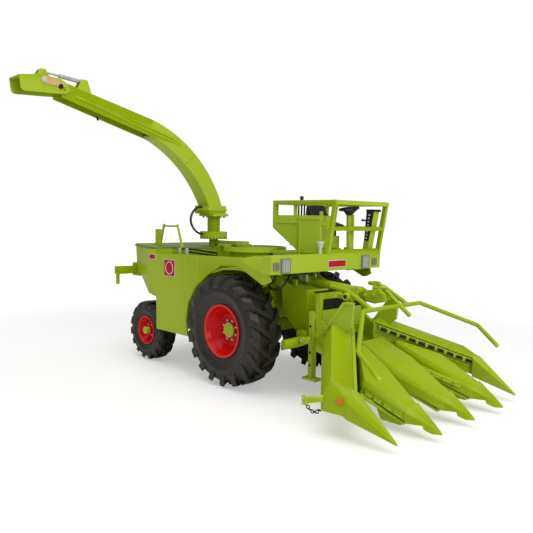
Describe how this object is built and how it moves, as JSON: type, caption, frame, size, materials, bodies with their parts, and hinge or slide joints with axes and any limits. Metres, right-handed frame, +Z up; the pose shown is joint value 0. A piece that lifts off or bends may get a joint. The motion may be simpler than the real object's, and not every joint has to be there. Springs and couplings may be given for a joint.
{
  "type": "scale model of a self-propelled forage harvester with a maize header",
  "caption": "Scale model of a self-propelled forage harvester: open platform, swinging discharge spout with a flap, rear steering, lifting maize header.",
  "frame": {"origin": "on the floor below the middle of the front axle", "axes": "+X forward along the machine, +Y to its left, +Z up"},
  "size_m": [0.1734, 0.1396, 0.1222],
  "materials": {
    "green_paint": "gloss",
    "red_paint": "gloss",
    "tyre": "matt",
    "deck_grey": "satin",
    "black_plastic": "matt",
    "cream_plastic": "satin",
    "lamp_grey": "gloss",
    "signal_red": "gloss",
    "bright_steel": "polished",
    "gold_metal": "satin",
    "rubber": "satin"
  },
  "bodies": {
    "chassis": {"chassis_frame": "green_paint", "console": "green_paint", "console_board": "black_plastic", "deck_fittings": "green_paint", "deck_plate": "deck_grey", "fluid_filler": "cream_plastic", "guard_cage": "green_paint", "headlamps": "lamp_grey", "hose_couplers": "bright_steel", "hull": "green_paint", "hydraulic_hoses": "rubber", "levers": "black_plastic", "platform": "green_paint", "rear_arm": "green_paint", "rear_axle": "green_paint", "screen_disc": "deck_grey", "screen_rim": "green_paint", "seat": "black_plastic", "seat_pedestal": "green_paint", "side_box": "green_paint", "side_panels": "green_paint", "signal_lamps": "signal_red", "spout_base": "green_paint", "steering_column": "green_paint", "steering_wheel": "black_plastic"},
    "front_wheel_right": {"front_tyre_right": "tyre", "front_rim_right": "red_paint", "front_hub_cap_right": "green_paint"},
    "front_wheel_left": {"front_tyre_left": "tyre", "front_rim_left": "red_paint", "front_hub_cap_left": "green_paint"},
    "rear_wheel_right": {"rear_tyre_right": "tyre", "rear_rim_right": "red_paint", "rear_hub_cap_right": "green_paint"},
    "rear_wheel_left": {"rear_tyre_left": "tyre", "rear_rim_left": "red_paint", "rear_hub_cap_left": "green_paint"},
    "knuckle_right": {"knuckle_right": "green_paint"},
    "knuckle_left": {"knuckle_left": "green_paint"},
    "tie_rod": {"tie_rod": "green_paint"},
    "spout": {"spout_gear": "green_paint", "spout_collar": "green_paint", "spout_chute": "green_paint", "spout_hose": "rubber"},
    "flap": {"spout_flap": "green_paint", "flap_lever": "gold_metal"},
    "flap_cylinder": {"flap_cylinder": "bright_steel"},
    "flap_rod": {"flap_rod": "bright_steel"},
    "header": {"feed_housing": "green_paint", "header_frame": "green_paint", "divider_right_outer": "green_paint", "divider_left_outer": "green_paint", "divider_right_inner": "green_paint", "divider_left_inner": "green_paint", "divider_centre": "green_paint", "pusher_bar": "green_paint", "stand_leg": "green_paint", "gathering_chains": "green_paint", "tilt_cylinder": "green_paint", "tilt_rod": "bright_steel"}
  },
  "joints": [
    {"name": "front_wheel_right_spin", "type": "hinge", "parent": "chassis", "child": "front_wheel_right", "pos_m": [0, -0.026, 0.0226], "axis": [0, 1, 0], "continuous": true},
    {"name": "front_wheel_left_spin", "type": "hinge", "parent": "chassis", "child": "front_wheel_left", "pos_m": [0, 0.026, 0.0226], "axis": [0, 1, 0], "continuous": true},
    {"name": "steer_left", "type": "hinge", "parent": "chassis", "child": "knuckle_left", "pos_m": [-0.0599, 0.0165, 0.0139], "axis": [0, 0, 1], "range_deg": [-12, 12]},
    {"name": "steer_right", "type": "hinge", "parent": "chassis", "child": "knuckle_right", "pos_m": [-0.0599, -0.0165, 0.0139], "axis": [0, 0, 1], "range_deg": [-12, 12]},
    {"name": "tie_rod_swing", "type": "hinge", "parent": "knuckle_left", "child": "tie_rod", "pos_m": [-0.0659, 0.0165, 0.0109], "axis": [0, 0, 1], "range_deg": [-12, 12]},
    {"name": "rear_wheel_right_spin", "type": "hinge", "parent": "knuckle_right", "child": "rear_wheel_right", "pos_m": [-0.0599, -0.0246, 0.0139], "axis": [0, 1, 0], "continuous": true},
    {"name": "rear_wheel_left_spin", "type": "hinge", "parent": "knuckle_left", "child": "rear_wheel_left", "pos_m": [-0.0599, 0.0246, 0.0139], "axis": [0, 1, 0], "continuous": true},
    {"name": "spout_swing", "type": "hinge", "parent": "chassis", "child": "spout", "pos_m": [-0.045, 0, 0.0574], "axis": [0, 0, 1], "range_deg": [-200, 20]},
    {"name": "flap_tilt", "type": "hinge", "parent": "spout", "child": "flap", "pos_m": [-0.045, -0.0776, 0.1158], "axis": [1, 0, 0], "range_deg": [-15, 15]},
    {"name": "flap_cylinder_swing", "type": "hinge", "parent": "spout", "child": "flap_cylinder", "pos_m": [-0.0424, -0.069, 0.1199], "axis": [1, 0, 0], "range_deg": [-8, 8]},
    {"name": "flap_rod_slide", "type": "slide", "parent": "flap_cylinder", "child": "flap_rod", "axis": [0, -0.997, 0.0772], "range_m": [-0.0013, 0.0013]},
    {"name": "header_lift", "type": "hinge", "parent": "chassis", "child": "header", "pos_m": [0.01, 0, 0.0435], "axis": [0, -1, 0], "range_deg": [0, 5]}
  ],
  "couplings": [
    {"joint": "steer_right", "follows": "steer_left", "ratio": 1},
    {"joint": "tie_rod_swing", "follows": "steer_left", "ratio": -1},
    {"joint": "flap_cylinder_swing", "follows": "flap_tilt", "ratio": 0.5099},
    {"joint": "flap_rod_slide", "follows": "flap_tilt", "m_per_rad": 0.004751}
  ]
}
